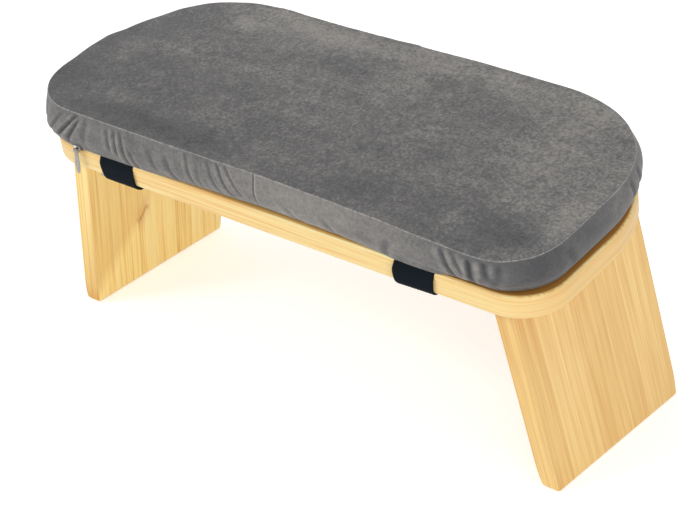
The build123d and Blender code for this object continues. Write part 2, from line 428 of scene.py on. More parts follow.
def makeLeg(side):
    # a plate with a level foot and a bevelled top, drawn on its inner face and drawn out along x
    def drop(y):
        return (bench["height"] + y * sin(bench["slope"])) / (cos(leg["splay"]) * cos(bench["slope"]))
    front = leg["setback"] - bench["depth"] / 2
    back = front + leg["depth"]
    bm = bmesh.new()
    corners = [(front, 0), (back, 0), (back, -drop(back)), (front, -drop(front))]
    verts = [bm.verts.new((y, z, 0)) for y, z in corners]
    bm.faces.new(verts)
    for vert, radius in ((verts[2], leg["backToe"]), (verts[3], leg["frontToe"])):
        bmesh.ops.bevel(
            bm, geom=[vert], offset=radius, offset_type="OFFSET", affect="VERTICES",
            segments=6, profile=0.5, material=-1,
        )
    # onto the inner face: the drawing's x becomes y and its y runs up the splayed plate
    upPlate = Vector((-sin(leg["splay"]), 0, cos(leg["splay"])))
    for v in bm.verts:
        v.co = Vector((leg["innerX"], v.co.x, 0)) + upPlate * v.co.y
    raised = bmesh.ops.extrude_face_region(bm, geom=bm.faces[:])["geom"]
    bmesh.ops.translate(bm, vec=(leg["thick"] / cos(leg["splay"]), 0, 0), verts=vertsOf(raised))
    bmesh.ops.recalc_face_normals(bm, faces=bm.faces)
    # all edges are rounded but the short ones through the plate and those against the seat
    rims = []
    for e in bm.edges:
        a, b = (v.co for v in e.verts)
        alongPlate = abs(a.x - b.x) < leg["thick"] * 0.9 or abs(a.y - b.y) > 0.02
        if alongPlate and (max(a.z, b.z) < -1e-6 or min(a.z, b.z) < -0.05):
            rims.append(e)
    bmesh.ops.bevel(
        bm, geom=rims, offset=leg["edgeRound"], offset_type="OFFSET", affect="EDGES",
        segments=4, profile=0.5, material=-1,
    )
    bm.normal_update()
    cutToneAndShade = bm.verts.layers.float.new("cutToneAndShade")
    for v in bm.verts:
        v[cutToneAndShade] = leg["frontTone"][side] * smoothStep(0.5, 0.9, -v.normal.y)
    # fibres run down the plate
    rememberGrain(bm, Matrix((-upPlate, (0, 1, 0), (cos(leg["splay"]), 0, sin(leg["splay"])))).to_4x4())
    if side == "left":
        bmesh.ops.scale(bm, vec=(-1, 1, 1), verts=bm.verts)
        bmesh.ops.recalc_face_normals(bm, faces=bm.faces)
    bm.transform(seatFrame)
    figure = makeBamboo("bamboo" + side.capitalize() + "Leg", *leg["figure"][side], strip=0.0195)
    plate = newObject(side + "LegPlate", bm, [figure])
    smoothShade(plate)
    weightNormals(plate)
    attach(plate, side + "_leg_body")
    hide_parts(side + "_leg")
    return plate


makeSeatBoard()
for side in ("left", "right"):
    makeLeg(side)
print("bamboo done")


# velour cushion

cushion = {
    "length": 0.4833,  # the top seam's outline
    "depth": 0.2086,
    "centre": (-0.0050, -0.0017),
    "radii": {(-1, -1): 0.048, (1, -1): 0.041, (-1, 1): 0.113, (1, 1): 0.109},
    "height": 0.0335,  # board to the top seam, at the middle
    "tilt": radians(1.22),  # fuller at the left end
    "lieOff": 0.0003,  # off the board
    "step": 0.0017,  # along the outline
    "topRings": (0.001, 0.003, 0.0065),  # close rings keep the seam crisp
    "topStep": 0.0045,  # of the square mesh inside them
    "bandRings": 24,
    "belly": 0.0029,  # how far the band stands out at its fullest
    "tuck": 0.0056,  # and how far it goes in at the bottom seam
    "bottomRings": (0.007, 0.009, 0.016, 0.030, 0.050),
    "endFullness": 0.15,  # the ends stand out by this much more
    "pressure": 4.0,
    "cap": 0.006,
    "crown": 0.0034,
    "swell": 0.0012,  # of the band, on top of its rings
    "sagOut": 0.0036,  # the left corner's band hangs out below by this much
    "endBulge": 0.0022,  # and the right end's is fuller towards the back
}
cushion["base"] = bench["thick"] + cushion["lieOff"]

# how far the top seam rises or sinks, by millimetres along the outline from the middle of the front
seamDrift = (
    (-626, -0.9), (-600, -2.2), (-572, -3.0), (-545, -3.6), (-510, -3.6), (-480, -2.6), (-450, -0.6), (-420, 0.6),
    (-398, 0.0), (-375, -1.6), (-345, -1.4), (-322, 1.4), (-305, 1.8), (-280, 0.4), (-260, -0.5), (-220, -1.6),
    (-190, -2.0), (-150, -1.7), (-100, -1.2), (-50, -0.2), (0, 1.1), (50, 0.8), (100, 0.0), (150, -2.0),
    (185, -2.8), (205, -1.4), (228, 0.6), (250, 2.2), (280, 2.2), (310, 3.0), (345, 3.4), (400, 2.0), (470, 0.0),
    (560, 0.0), (626, -1.5),
)
# how far the bottom seam is lifted off the board, likewise
bottomLift = (
    (-330, 0.2), (-300, 0.4), (-285, 1.0), (-271, 1.0), (-256, 0.3), (-200, 0.2), (-170, -0.9), (-130, -1.2),
    (-90, 0.2), (0, 0.6), (60, 0.4), (100, -0.3), (118, -0.8), (137, -1.1), (156, -0.8), (172, 0.2), (195, 1.2),
    (225, 1.1), (250, 1.0), (285, 0.9), (320, 0.8), (380, 0.6), (470, 0.3),
)
# how much of the curl under the bottom edge there is, likewise
bottomCurl = (
    (-400, 0.5), (-300, 0.12), (-190, 0.15), (-110, 0.35), (-40, 0.8), (0, 1.0), (70, 0.9), (105, 0.4), (120, 0.15),
    (154, 0.15), (168, 0.8), (180, 0.9), (215, 0.5), (340, 0.5), (470, 0.5),
)
# folds of the band in millimetres: where each starts and ends along the outline, its share of the
# height at both ends, its half width and its depth
bandFolds = (
    (-185, 0.03, -211, 0.78, 2.0, 1.6),
    (-183, 0.12, -202, 0.86, 1.8, 1.4),
    (-202, 0.10, -222, 0.78, 2.2, 0.8),
    (-226, 0.05, -236, 0.80, 3.4, 0.5),
    (-176, 0.10, -182, 0.70, 2.6, 0.5),
    (-154, 0.14, -153, 0.66, 2.0, 0.8),
    (-146, 0.10, -146, 0.72, 1.9, 0.9),
    (-140, 0.10, -137, 0.96, 2.2, 1.0),
    (-131, 0.45, -127, 0.98, 2.2, 0.6),
    (-110, 0.25, -104, 0.80, 3.0, 0.5),
    (-92, 0.30, -86, 0.95, 3.0, 0.6),
    (-71, 0.05, -66, 0.92, 1.8, 0.7),
    (-60, 0.20, -58, 0.90, 2.0, 0.4),
    (-49, 0.08, -38, 0.92, 1.8, 0.6),
    (-40, 0.02, -26, 0.92, 1.6, 1.1),
    (-32, 0.04, -16, 0.72, 1.6, 0.9),
    (26, 0.55, 34, 0.98, 3.4, 0.6),
    (62, 0.50, 70, 0.96, 3.4, 0.5),
    (118, 0.40, 112, 0.95, 3.4, 0.6),
    (163, 0.08, 174, 0.95, 2.6, 1.1),
    (171, 0.04, 181, 0.60, 2.4, 0.7),
    (186, 0.14, 188, 0.92, 2.8, 1.5),
    (198, 0.10, 201, 0.60, 3.0, 1.1),
    (209, 0.12, 205, 0.85, 3.0, 0.7),
    (262, 0.20, 268, 0.80, 4.0, 0.4),
    (344, 0.15, 352, 0.85, 3.0, 0.8),
    (362, 0.15, 368, 0.85, 3.0, 0.8),
)
bandJoin = (-3.0, -3.6, 0.9, 0.7)  # the band's own seam: top and bottom along the outline, half width, depth

# where the top is darker or lighter: the pile's own lie, with painted sheen that lightens it towards the back and
# the right end; centre, half sizes (mm) and amount
napAndSheenPatches = (
    (-238, -5, 14, 26, -0.9), (-232, -66, 26, 26, -0.9), (-150, -95, 70, 16, -1.0), (-75, -92, 50, 14, -0.7),
    (-40, 46, 26, 16, -0.5), (-118, -22, 60, 26, -0.35), (-180, -22, 22, 14, -0.4), (196, -76, 34, 24, -0.8),
    (138, -84, 18, 18, -0.5), (72, -80, 22, 20, -0.45), (50, -14, 16, 34, -0.35), (75, 72, 16, 12, -0.6),
    (48, 56, 12, 12, -0.45), (100, -26, 16, 14, -0.35), (-212, 40, 16, 34, -0.5), (215, 50, 12, 20, -0.3),
    (-110, 80, 66, 26, 0.8), (-158, 62, 16, 14, 0.9), (18, 44, 24, 34, 0.6), (20, 84, 46, 20, 0.7),
    (168, 22, 30, 40, 0.65), (145, 80, 60, 24, 0.6), (226, -48, 12, 36, 1.0), (196, -44, 30, 12, 0.45),
    (-172, -76, 10, 12, 0.6), (-176, 6, 14, 16, 0.45), (-214, -16, 12, 20, 0.5), (-88, 6, 34, 16, 0.4),
    (152, -84, 8, 18, 0.5), (214, -96, 22, 10, 0.7), (84, 6, 26, 16, 0.25), (-60, 82, 40, 20, 0.45),
    (40, 25, 260, 90, 0.35), (222, 20, 60, 84, 0.6), (10, 98, 250, 28, 0.6), (178, 84, 28, 24, 0.9),
    (80, 84, 18, 16, 0.6), (-140, 88, 30, 16, 0.3), (-155, -82, 42, 14, -0.5), (175, -20, 26, 26, 0.35),
)
# and on the band, by where along the outline: the pile's lie, with painted light on the front and painted shade on
# the right end
napAndSheenOfBand = (
    (-330, 0.1), (-250, 0.7), (-190, 0.35), (-130, 0.1), (-60, 0.3), (-8, 0.9), (40, 1.5), (75, 1.4),
    (100, 0.9), (130, 0.8), (160, 0.4), (205, -0.6), (232, -1.3), (290, -0.6), (320, 0.0), (420, 0.1),
)


def alongTable(table, value):
    if value <= table[0][0]:
        return table[0][1]
    for (a, low), (b, high) in zip(table, table[1:]):
        if value <= b:
            return low + (high - low) * smoothStep(a, b, value)
    return table[-1][1]


def topHeight(x):
    return cushion["base"] + cushion["height"] - (x - cushion["centre"][0]) * tan(cushion["tilt"])


def meshTop(bm, filled, rim, layers, home):
    # cuts the middle of the top into squares; each point looks up its nearest place on the outline
    region = filled + list({e for f in filled for e in f.edges}) + list({v for f in filled for v in f.verts})
    for axis, reach in ((0, cushion["length"] / 2), (1, cushion["depth"] / 2)):
        count = int(reach / cushion["topStep"])
        across = Vector((1 - axis, axis, 0))
        for i in range(-count, count + 1):
            place = Vector((*cushion["centre"], 0)) + across * i * cushion["topStep"]
            cut = bmesh.ops.bisect_plane(bm, geom=region, dist=0.0007, plane_co=place, plane_no=across)
            region = cut["geom"]
    outline = KDTree(len(rim))
    for i, v in enumerate(rim):
        outline.insert(v[home], i)
    outline.balance()
    for v in vertsOf(region):
        v[home] = (v.co.x, v.co.y, 0)
        nearest, i, distance = outline.find(v[home])
        v[layers["inset"]] = distance
        v[layers["run"]] = rim[i][layers["run"]]
        v[layers["part"]] = v[layers["down"]] = 0


def makeCushionCage():
    # top, band and underside as rings of one closed mesh; its layers hold where each point came from
    bm = bmesh.new()
    for name in ("home", "cloth"):
        bm.verts.layers.float_vector.new(name)
    names = ("run", "part", "down", "inset", "napAndSheen", "seam", "foldShading")
    for name in names:
        bm.verts.layers.float.new(name)
    home = bm.verts.layers.float_vector["home"]
    layers = {name: bm.verts.layers.float[name] for name in names}
    face = dOutline(bm, cushion["length"], cushion["depth"], cushion["radii"], cushion["step"], cushion["centre"])
    rim = [loop.vert for loop in face.loops]
    if face.normal.z < 0:
        rim.reverse()
    bmesh.ops.delete(bm, geom=[face], context="FACES_ONLY")
    first = min(range(len(rim)), key=lambda i: (rim[i].co.y > 0, abs(rim[i].co.x)))
    rim = rim[first:] + rim[:first]
    gaps = [(b.co - a.co).length for a, b in zip(rim, rim[1:] + rim[:1])]
    travelled = rim[0].co.x
    for v, gap in zip(rim, gaps):
        v[layers["run"]] = travelled if travelled <= sum(gaps) / 2 else travelled - sum(gaps)
        v[layers["part"]] = 1
        v[home] = v.co.copy()
        v.co.z = topHeight(v.co.x)
        travelled += gap
    spine = (cushion["length"] - cushion["depth"]) / 2
    middleX, middleY = cushion["centre"]

    def toSpine(point, distance):
        target = Vector((min(max(point.x, middleX - spine), middleX + spine), middleY, 0))
        return point.lerp(target, distance / (cushion["depth"] / 2))

    def nextRing(edges, part, inset, down):
        made = bmesh.ops.extrude_edge_only(bm, edges=edges)["geom"]
        fresh = set(vertsOf(made))
        for v in fresh:
            v[layers["part"]], v[layers["inset"]], v[layers["down"]] = part, inset, down
            share = 1
            if part == 1 and inset > 0:
                share = alongTable(bottomCurl, v[layers["run"]] * 1000)
            elif part == 1:
                farOut = abs(v[home].x - middleX) * 2 / cushion["length"]
                share += cushion["endFullness"] * smoothStep(0.6, 1, farOut)
            v.co = toSpine(v[home], inset * share)
            v.co.z = topHeight(v.co.x) * (1 - down) + cushion["base"] * down
        return [e for e in edgesOf(made) if e.verts[0] in fresh and e.verts[1] in fresh]

    seam = bm.edges[:]
    edges = seam
    for inset in cushion["topRings"]:
        edges = nextRing(edges, 0, inset, 0)
    filled = bmesh.ops.holes_fill(bm, edges=edges, sides=0)["faces"]
    meshTop(bm, filled, rim, layers, home)
    edges = seam
    for ring in range(1, cushion["bandRings"] + 1):
        down = ring / cushion["bandRings"]
        out = cushion["belly"] * sin(pi * min(down / 0.9, 1)) - cushion["tuck"] * max(down / 0.4 - 1.5, 0) ** 3.6
        edges = nextRing(edges, 1, -out, down)
    for inset in cushion["bottomRings"]:
        edges = nextRing(edges, 2, inset, 1)
    filled = bmesh.ops.holes_fill(bm, edges=edges, sides=0)["faces"]
    bmesh.ops.triangulate(bm, faces=filled, quad_method="BEAUTY", ngon_method="BEAUTY")
    bmesh.ops.recalc_face_normals(bm, faces=bm.faces)
    return bm


def inflate(piece, held):
    # the cover swells off its foam under a little pressure, held at its seams
    rest = [v.co.copy() for v in piece.data.vertices]
    group = piece.vertex_groups.new(name="held")
    group.add(held, 1.0, "REPLACE")
    cloth = piece.modifiers.new("cover", "CLOTH")
    settings = cloth.settings
    settings.quality = 5
    settings.mass = 0.2
    settings.tension_stiffness = settings.compression_stiffness = 20
    settings.shear_stiffness = 8
    settings.bending_stiffness = 0.5
    settings.vertex_group_mass = "held"
    settings.use_pressure = True
    settings.uniform_pressure_force = cushion["pressure"]
    settings.effector_weights.gravity = 0
    cloth.collision_settings.use_collision = False
    for step in range(1, 21):
        bpy.context.scene.frame_set(step)
    swollen = piece.evaluated_get(bpy.context.evaluated_depsgraph_get()).data
    moved = [s.co - r for s, r in zip(swollen.vertices, rest)]
    piece.modifiers.remove(cloth)
    piece.vertex_groups.remove(group)
    bpy.context.scene.frame_set(1)
    return [m if m.length < cushion["cap"] else m * (cushion["cap"] / m.length) for m in moved]


def swelling(piece, part, down):
    held = [i for i, (p, d) in enumerate(zip(part, down)) if p == 2 or (p == 1 and d == 0)]
    moved = inflate(piece, held)
    rise = max(m.z for m, p in zip(moved, part) if p == 0)
    spread = max(hypot(m.x, m.y) for m, p in zip(moved, part) if p == 1)
    print("cover swelled", round(rise * 1000, 2), "mm up and", round(spread * 1000, 2), "mm out")
    up, out = cushion["crown"] / max(rise, 1e-5), cushion["swell"] / max(spread, 1e-5)
    return [m * (up if p == 0 else out) for m, p in zip(moved, part)]


def foldDepth(run, share):
    # grooves with a low ridge on each side, in millimetres inwards
    total = 0
    for top, fromShare, bottom, toShare, width, depth in bandFolds:
        if abs(run - (top + bottom) / 2) > abs(top - bottom) / 2 + 4 * width:
            continue
        along = (share - fromShare) / (toShare - fromShare)
        u = (run - (top + (bottom - top) * min(max(along, 0), 1))) / width
        fade = smoothStep(-0.12, 0.16, along) * (1 - smoothStep(0.78, 1.1, along))
        total += 1.7 * depth * fade * (exp(-u * u) - 0.5 * exp(-((u - 1.7) ** 2)) - 0.5 * exp(-((u + 1.7) ** 2)))
    top, bottom, width, depth = bandJoin
    u = (run - (top + (bottom - top) * share)) / width
    total += depth * exp(-u * u) - 0.35 * exp(-((abs(u) - 2.6) ** 2))
    return total


def shapeCushion(piece):
    # the swelling, the drift of both seams, the folds with their painted shade, and the pile's lie with its painted
    # sheen
    mesh = piece.data
    part, run, down, inset = (
        [d.value for d in mesh.attributes[name].data] for name in ("part", "run", "down", "inset")
    )
    part = [round(p) for p in part]
    moved = swelling(piece, part, down)
    cloth, napAndSheen, seam, foldShading = (mesh.attributes[name].data for name in ("cloth", "napAndSheen", "seam", "foldShading"))
    middleX, middleY = cushion["centre"]
    spine = (cushion["length"] - cushion["depth"]) / 2
    for i, vert in enumerate(mesh.vertices):
        start = vert.co.copy()
        point = start + moved[i]
        mm = run[i] * 1000
        outward = Vector((start.x - min(max(start.x, middleX - spine), middleX + spine), start.y - middleY, 0))
        outward = outward.normalized() if outward.length > 1e-6 else Vector((0, 0, 0))
        wave = noise.noise(start * 16) * 0.6 + noise.noise(start * 45) * 0.25
        lieAndSheen = 0
        if part[i] == 0:
            edge = inset[i] / 0.055
            point.z += alongTable(seamDrift, mm) / 1000 * (1 - smoothStep(0, 1, edge))
            point.z += wave * 0.0006 * smoothStep(0, 0.3, edge)
            pucker = exp(-((inset[i] - 0.005) / 0.004) ** 2) * noise.noise(Vector((mm / 9, 3.3, 0)))
            point.z += pucker * 0.0005
            for x, y, halfX, halfY, amount in napAndSheenPatches:
                reach = hypot((start.x * 1000 - x) / halfX, (start.y * 1000 - y) / halfY)
                lieAndSheen += amount * (1 - smoothStep(0.2, 1.5, reach))
        elif part[i] == 1:
            share = down[i]
            hangs = smoothStep(-300, -262, mm) * (1 - smoothStep(-215, -180, mm))
            hangs *= smoothStep(0.3, 0.78, share) * (1 - smoothStep(0.86, 1, share))
            point += outward * cushion["sagOut"] * hangs
            point += outward * cushion["endBulge"] * exp(-(((mm - 398) / 24) ** 2)) * sin(pi * share)
            point.z += alongTable(seamDrift, mm) / 1000 * (1 - share)
            point.z += alongTable(bottomLift, mm) / 1000 * share
            free = smoothStep(0, 0.12, share) * (1 - smoothStep(0.9, 1, share))
            groove = foldDepth(mm, share) / 1000 * smoothStep(0, 0.1, share) * (1 - smoothStep(0.93, 1, share))
            point -= outward * groove
            point += outward * wave * 0.0008 * free
            # the groove depth also paints shade into the grooves and light onto their ridges
            foldShading[i].value = -groove * 1000
            lieAndSheen = alongTable(napAndSheenOfBand, mm)
        else:
            point.z += alongTable(bottomLift, mm) / 1000 * (1 - smoothStep(0.006, 0.045, inset[i]))
        if part[i] == 1 and down[i] == 0:
            ridge = 0.0007 + 0.0002 * noise.noise(Vector((mm / 5, 0, 7)))
            point += outward * ridge + Vector((0, 0, ridge * 0.6))
            # this mark also places the painted highlight along the top seam
            seam[i].value = 1
        napAndSheen[i].value = min(max(lieAndSheen, -1.6), 1.6)
        cloth[i].vector = start
        vert.co = point


def makeCushion(materials):
    bm = makeCushionCage()
    piece = newObject("velourCushion", bm, materials)
    shapeCushion(piece)
    piece.data.transform(seatFrame)
    smoothShade(piece, 180)
    finer = piece.modifiers.new("finer", "SUBSURF")
    finer.levels = finer.render_levels = 1
    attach(piece, "seat")
    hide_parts("foam_core", "cover_top_panel", "cover_side_band", "cover_bottom_panel")
    return piece


def makeVelour():
    material, tree, shader = newMaterial("velour", Roughness=0.9, Sheen_Weight=0.22, Sheen_Roughness=0.45)
    shader.inputs["Specular IOR Level"].default_value = 0.2
    cloth = attribute(tree, "cloth")
    lieAndSheen = attribute(tree, "napAndSheen", "Fac")
    foldShading = attribute(tree, "foldShading", "Fac")
    brushed = cloud(tree, vectorCalc(tree, "MULTIPLY", cloth, (14, 42, 42)), 1, 4, 0.6)
    mottle = cloud(tree, cloth, 120, 3, 0.6)
    pile = cloud(tree, cloth, 420, 3, 0.7)
    grain = addUp(tree, varied(tree, pile, 2.0), varied(tree, mottle, 0.9))
    # the pile shows more where it stands towards the light, and less where the band is stretched
    onBand = attribute(tree, "part", "Fac")
    grain = scaled(tree, grain, remap(tree, lieAndSheen, -0.8, 0.8, (0.85, 1.25), "LINEAR"))
    grain = scaled(tree, grain, remap(tree, onBand, 0, 1, (1.1, 0.5), "LINEAR"))
    # the tone takes the pile's lie with painted sheen and shade, and painted shade in the fold grooves with painted
    # light on their ridges
    tone = addUp(tree, scaled(tree, lieAndSheen, 0.36), scaled(tree, foldShading, 0.42), varied(tree, brushed, 0.9), grain)
    colour = threeTones(tree, tone, -1.0, 0.0, 1.0, (srgb(60, 61, 65), srgb(101, 100, 100), srgb(152, 148, 142)))
    # painted highlight: a light line along the top seam, broken up by the pile
    edge = remap(tree, attribute(tree, "seam", "Fac"), 0.35, 0.95)
    edge = scaled(tree, edge, remap(tree, pile, 0.35, 0.65, (0.25, 0.95), "LINEAR"))
    colour = blendColour(tree, edge, colour, srgb(167, 163, 158))
    # the band's own seam: painted shade as a dark line in its groove, and a painted highlight on the lip beside it
    beside = addUp(tree, attribute(tree, "run", "Fac"), 0.0034)
    seamed = remap(tree, distanceFrom(tree, onBand, 1), 0.4, 0.1)
    seamShadeLine = scaled(tree, remap(tree, calc(tree, "ABSOLUTE", beside), 0.0009, 0.0002), 0.6)
    lipHighlight = scaled(tree, remap(tree, distanceFrom(tree, beside, 0.0017), 0.0011, 0.0003), 0.5)
    colour = blendColour(tree, scaled(tree, seamShadeLine, seamed), colour, srgb(62, 62, 64))
    colour = blendColour(tree, scaled(tree, lipHighlight, seamed), colour, srgb(170, 166, 161))
    feed(tree, shader.inputs["Base Color"], colour)
    feed(tree, shader.inputs["Roughness"], remap(tree, tone, -0.6, 0.6, (0.95, 0.82)))
    addBump(tree, shader, addUp(tree, scaled(tree, pile, 0.7), scaled(tree, mottle, 0.3)), 0.6, 0.0008)
    return material


makeCushion([makeVelour()])
print("cushion done")


# elastic straps, sewn to the cushion's front and back and slack under the board's front edge

strap = {
    "width": 0.035,
    "thick": 0.0013,
    "middle": {"left": -0.154, "right": 0.137},
    "gap": 0.0004,
    "top": 0.0216,  # hidden behind the band
    "cornerRound": 0.0059,
    # of its two edges: how far they stand off the board's front edge, and their drift along the seat
    "slack": {"left": (0.0004, 0.0004), "right": (0.0028, 0.0003)},
    "drift": {"left": (0.0034, 0.0020), "right": (0.0030, -0.0024)},
    "sag": {"left": 0.0020, "right": 0.0006},  # below the board
    "lean": {"left": 0.0038, "right": 0.0046},  # in at the top, to the cushion's seam
    "rows": 24,
    "rib": 0.00022,
    "step": 0.0013,
}


def makeElastic():
    material, tree, shader = newMaterial("elasticWebbing", Roughness=0.85)
    shader.inputs["Specular IOR Level"].default_value = 0.08
    weave = attribute(tree, "weave")
    along, across = splitXYZ(tree, weave)[:2]
    picks = calc(tree, "SINE", scaled(tree, along, tau / 0.0009))
    ribs = calc(tree, "SINE", scaled(tree, across, tau / 0.00145))
    yarn = scaled(tree, addUp(tree, scaled(tree, picks, ribs), 1.0), 0.5)
    tone = addUp(tree, scaled(tree, yarn, 0.55), scaled(tree, cloud(tree, weave, 1400, 2), 0.45))
    feed(tree, shader.inputs["Base Color"], blendColour(tree, tone, srgb(9, 14, 19), srgb(25, 32, 39)))
    addBump(tree, shader, yarn, 0.45, 0.0003)
    return material


def makeStrap(side, material):
    half = strap["gap"] + strap["thick"] / 2
    bm = bmesh.new()
    height = strap["top"] + half + 0.006
    face = dOutline(
        bm, bench["depth"] + 2 * half, height,
        {(x, -1): strap["cornerRound"] for x in (-1, 1)}, strap["step"], (0, height / 2 - half),
    )
    bmesh.ops.delete(bm, geom=[face], context="FACES_ONLY")
    bmesh.ops.delete(bm, geom=[v for v in bm.verts if v.co.y > strap["top"] + 1e-5], context="VERTS")
    for v in bm.verts:
        v.co = Vector((strap["middle"][side] - strap["width"] / 2, v.co.x, v.co.y))
    weave = bm.verts.layers.float_vector.new("weave")
    edges = bm.edges[:]
    for row in range(strap["rows"]):
        made = bmesh.ops.extrude_edge_only(bm, edges=edges)["geom"]
        fresh = set(vertsOf(made))
        bmesh.ops.translate(bm, vec=(strap["width"] / strap["rows"], 0, 0), verts=list(fresh))
        edges = [e for e in edgesOf(made) if e.verts[0] in fresh and e.verts[1] in fresh]
    bmesh.ops.recalc_face_normals(bm, faces=bm.faces)
    bm.normal_update()
    left = strap["middle"][side] - strap["width"] / 2
    nearSlack, farSlack = strap["slack"][side]
    nearDrift, farDrift = strap["drift"][side]
    for v in bm.verts:
        v[weave] = (v.co.y + v.co.z, v.co.x, 0)
        front = smoothStep(-0.092, -0.1045, v.co.y)
        up = min(max((v.co.z + half) / (strap["top"] + half), 0), 1)
        row = round((v.co.x - left) / strap["width"] * strap["rows"])
        v.co += v.normal * strap["rib"] * (row % 2)
        far = row / strap["rows"]
        v.co.y -= front * (nearSlack * (1 - far) + farSlack * far) * sin(pi * up ** 0.8)
        hangs = 1 - smoothStep(-0.0980, -0.0740, v.co.y)
        v.co.z -= hangs * strap["sag"][side] * (1 - up) ** 2
        drift = nearDrift * (1 - far) * (1 - up) ** 2 + farDrift * far * (1 - up)
        v.co.x += drift * smoothStep(-0.080, -0.102, v.co.y)
        v.co.y += strap["lean"][side] * smoothStep(0.6, 1, up) * (1 if v.co.y < 0 else -1)
    bm.transform(seatFrame)
    band = newObject(side + "ElasticStrap", bm, [material])
    smoothShade(band, 180)
    body = band.modifiers.new("body", "SOLIDIFY")
    body.thickness = strap["thick"]
    body.offset = 0
    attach(band, "seat")
    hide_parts(side + "_strap")
    return band


elastic = makeElastic()
for side in ("left", "right"):
    makeStrap(side, elastic)
print("straps done")


# zip: coil and tape round the left end of the cover

zipper = {
    "inset": 0.0014,
    "height": 0.0211,
    "frontEnd": -0.1892,
    "backEnd": -0.176,
    "pitch": 0.0013,
    "tooth": (0.0008, 0.0019, 0.0015),  # along, in and up
    "tape": 0.0030,
    "tapeInside": 0.008,  # the share of the way to the left end's middle at which the tape stands
    "endMiddle": -0.142,
}
# the cover's plain outline, which the zip follows
frameCover = {
    "length": 0.4845,
    "depth": 0.2102,
    "centre": (-0.0040, -0.0019),
    "radii": {(-1, -1): 0.053, (1, -1): 0.041, (-1, 1): 0.109, (1, 1): 0.109},
}


def makeZip():
    tape, tree, shader = newMaterial("zipTape", Roughness=0.85)
    weave = attribute(tree, "weave")
    lane = calc(tree, "SINE", scaled(tree, splitXYZ(tree, weave)[0], tau / 0.0011))
    tone = addUp(tree, scaled(tree, lane, 0.25), cloud(tree, weave, 900, 2))
    feed(tree, shader.inputs["Base Color"], blendColour(tree, tone, srgb(74, 74, 78), srgb(106, 105, 106)))
    addBump(tree, shader, tone, 0.4, 0.0002)
    coil, tree, shader = newMaterial("zipCoil", Roughness=0.45)
    speck = cloud(tree, attribute(tree, "weave"), 500, 2)
    feed(tree, shader.inputs["Base Color"], blendColour(tree, speck, srgb(88, 88, 92), srgb(122, 121, 122)))
    feed(tree, shader.inputs["Roughness"], remap(tree, speck, 0.3, 0.7, (0.38, 0.52)))

    bm = bmesh.new()
    face = dOutline(
        bm, frameCover["length"] - 2 * zipper["inset"], frameCover["depth"] - 2 * zipper["inset"],
        frameCover["radii"], zipper["pitch"] / 2, frameCover["centre"],
    )
    path = [loop.vert.co.copy() for loop in face.loops]
    bm.clear()
    kept = [
        (a, (b - a).normalized()) for a, b in zip(path, path[1:] + path[:1])
        if a.x < (zipper["frontEnd"] if a.y < 0 else zipper["backEnd"])
    ]
    weave = bm.verts.layers.float_vector.new("weave")
    last = None
    for point, heading in kept:
        if last is not None and (point - last).length < zipper["pitch"]:
            continue
        last = point
        turned = heading.to_track_quat("X", "Z").to_matrix().to_4x4()
        place = Matrix.Translation((point.x, point.y, zipper["height"])) @ turned
        tooth = bmesh.ops.create_cube(bm, size=1, matrix=place @ Matrix.Diagonal((*zipper["tooth"], 1)))["verts"]
        edges = list({e for v in tooth for e in v.link_edges if abs(e.verts[0].co.z - e.verts[1].co.z) < 1e-7})
        bmesh.ops.bevel(
            bm, geom=edges, offset=0.0004, offset_type="OFFSET", affect="EDGES", segments=1, profile=0.5, material=-1
        )
    for face in bm.faces:
        face.material_index = 1
    # the tape stands inside the coil
    strip = []
    for point, heading in kept:
        inner = point.lerp(Vector((zipper["endMiddle"], cushion["centre"][1], 0)), zipper["tapeInside"])
        strip.append(bm.verts.new((inner.x, inner.y, zipper["height"] - zipper["tape"] / 2 + 0.0002)))
    strip = [bm.edges.new(pair) for pair in zip(strip, strip[1:]) if (pair[0].co - pair[1].co).length < 0.01]
    made = bmesh.ops.extrude_edge_only(bm, edges=strip)["geom"]
    bmesh.ops.translate(bm, vec=(0, 0, zipper["tape"]), verts=vertsOf(made))
    bmesh.ops.recalc_face_normals(bm, faces=bm.faces)
    for v in bm.verts:
        v[weave] = (v.co.x + v.co.y, v.co.z, 0)
    bm.transform(seatFrame)
    piece = newObject("zipCoilAndTape", bm, [tape, coil])
    smoothShade(piece, 40)
    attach(piece, "seat")
    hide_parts("zip_chain")
    return piece


makeZip()
print("zip done")


# metals on the hinges, screws, pins, zip slider and its enamelled pull

def makeWornMetal():
    # fine rolling marks, cloudy polish and darker spots, for every bare metal
    tree, given, out = newGroup(
        "wornMetal",
        [
            ("Bright", "NodeSocketColor", (0.6, 0.6, 0.6, 1)),
            ("Dull", "NodeSocketColor", (0.4, 0.4, 0.4, 1)),
            ("Smooth", "NodeSocketFloat", 0.25),
            ("Rough", "NodeSocketFloat", 0.45),
            ("Stretch", "NodeSocketVector", None),
        ],
        [("Color", "NodeSocketColor"), ("Roughness", "NodeSocketFloat"), ("Height", "NodeSocketFloat")],
    )
    coords = tree.nodes.new("ShaderNodeTexCoord").outputs["Object"]
    marks = cloud(tree, vectorCalc(tree, "MULTIPLY", coords, given["Stretch"]), 1, 3)
    haze = cloud(tree, coords, 160, 3)
    mixed = addUp(tree, scaled(tree, marks, 0.5), scaled(tree, haze, 0.5))
    feed(tree, out["Color"], blendColour(tree, remap(tree, mixed, 0.35, 0.65), given["Dull"], given["Bright"]))
    roughness = remap(tree, mixed, 0.35, 0.65, (given["Rough"], given["Smooth"]), "LINEAR")
    feed(tree, out["Roughness"], roughness)
    feed(tree, out["Height"], marks)
    return tree


wornMetal = makeWornMetal()


